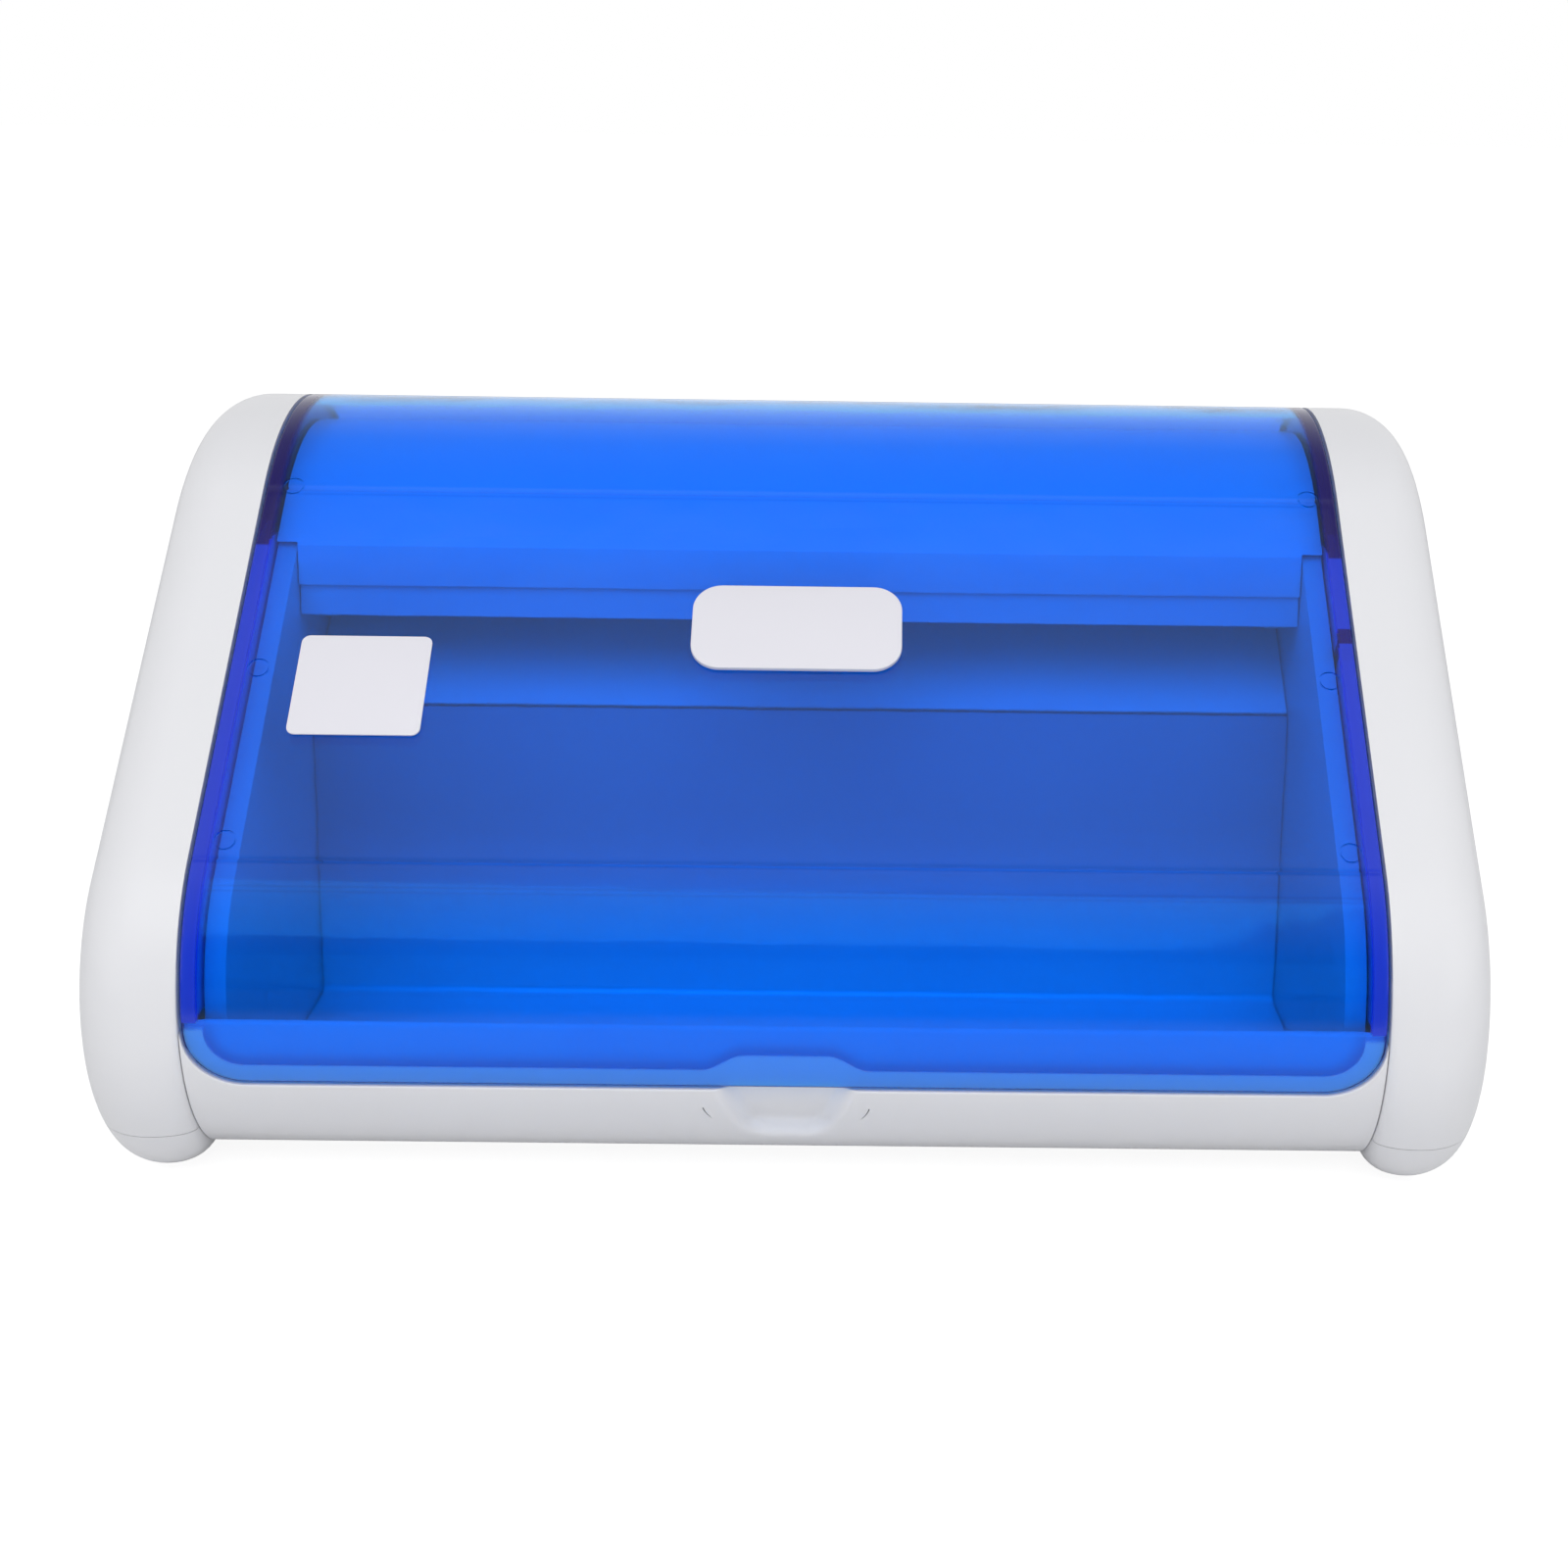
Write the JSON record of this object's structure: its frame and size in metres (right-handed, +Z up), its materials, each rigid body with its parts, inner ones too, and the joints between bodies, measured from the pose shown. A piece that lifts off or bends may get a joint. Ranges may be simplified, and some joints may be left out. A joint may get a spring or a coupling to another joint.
{
  "type": "ultraviolet sterilizer box",
  "caption": "Countertop ultraviolet sterilizer box with white end cheeks and a transparent blue wrap-over cover that lifts off a steel-lined chamber under a hooded tube lamp.",
  "frame": {"origin": "centre of the footprint, on the table under the rubber feet", "axes": "+X across the width, +Y towards the rear panel, +Z up"},
  "size_m": [0.385, 0.2228, 0.201],
  "materials": {
    "white_plastic": "satin moulded white",
    "blue_cover": "clear cobalt-blue moulding, high gloss",
    "bare_plate": "white, smooth, bare",
    "plated_steel": "zinc-plated",
    "brushed_steel": "brushed along the width",
    "polished_aluminium": "polished sheet",
    "lamp_glass": "clear tube glass",
    "cream_plastic": "matte moulded",
    "black_plastic": "matte moulded",
    "black_rubber": "matte rubber",
    "lead_jacket": "soft jacket"
  },
  "bodies": {
    "housing": {"base_pan": "white_plastic", "front_panel": "white_plastic", "rear_panel": "white_plastic", "lamp_hood": "white_plastic", "left_cheek": "white_plastic", "left_side_plate": "white_plastic", "left_side_frame": "white_plastic", "right_cheek": "white_plastic", "right_side_plate": "white_plastic", "right_side_frame": "white_plastic", "left_hinge_pin": "plated_steel", "right_hinge_pin": "plated_steel", "left_front_pan_screw": "plated_steel", "left_front_cheek_screw": "plated_steel", "left_rear_pan_screw": "plated_steel", "left_rear_cheek_screw": "plated_steel", "right_front_pan_screw": "plated_steel", "right_front_cheek_screw": "plated_steel", "right_rear_pan_screw": "plated_steel", "right_rear_cheek_screw": "plated_steel", "left_rear_screw_1": "plated_steel", "left_rear_screw_2": "plated_steel", "right_rear_screw_1": "plated_steel", "right_rear_screw_2": "plated_steel", "left_ballast_screw": "plated_steel", "right_ballast_screw": "plated_steel", "chamber_liner": "brushed_steel", "reflector": "polished_aluminium", "left_lamp_holder": "cream_plastic", "right_lamp_holder": "cream_plastic", "ballast": "cream_plastic", "starter_socket": "cream_plastic", "starter": "cream_plastic", "terminal_block": "cream_plastic", "switch_bezel": "black_plastic", "power_inlet": "black_plastic", "interlock_switch": "black_plastic", "left_front_foot": "black_rubber", "left_rear_foot": "black_rubber", "right_front_foot": "black_rubber", "right_rear_foot": "black_rubber", "left_lamp_lead": "lead_jacket", "right_lamp_lead": "lead_jacket", "switch_lead": "lead_jacket", "inlet_lead": "lead_jacket"},
    "cover": {"cover": "blue_cover", "name_plate": "bare_plate", "blank_label": "bare_plate"},
    "lamp": {"uv_tube": "lamp_glass", "left_lamp_cap": "polished_aluminium", "right_lamp_cap": "polished_aluminium"},
    "rocker": {"rocker": "black_plastic"},
    "interlock_plunger": {"interlock_plunger": "black_plastic"}
  },
  "joints": [
    {"name": "cover_hinge", "type": "hinge", "parent": "housing", "child": "cover", "pos_m": [0, 0.07557, 0.1721], "axis": [-1, 0, 0], "range_deg": [0, 75]},
    {"name": "lamp_twist", "type": "hinge", "parent": "housing", "child": "lamp", "pos_m": [0, 0.03057, 0.1471], "axis": [1, 0, 0], "range_deg": [0, 90]},
    {"name": "rocker_tilt", "type": "hinge", "parent": "housing", "child": "rocker", "pos_m": [0.118, 0.10446, 0.062], "axis": [-1, 0, 0], "range_deg": [0, 22]},
    {"name": "plunger_press", "type": "slide", "parent": "housing", "child": "interlock_plunger", "axis": [0, 0.6514, -0.7587], "range_m": [0, 0.0025], "stiffness_N_per_m": 250, "springref_m": -0.002}
  ]
}
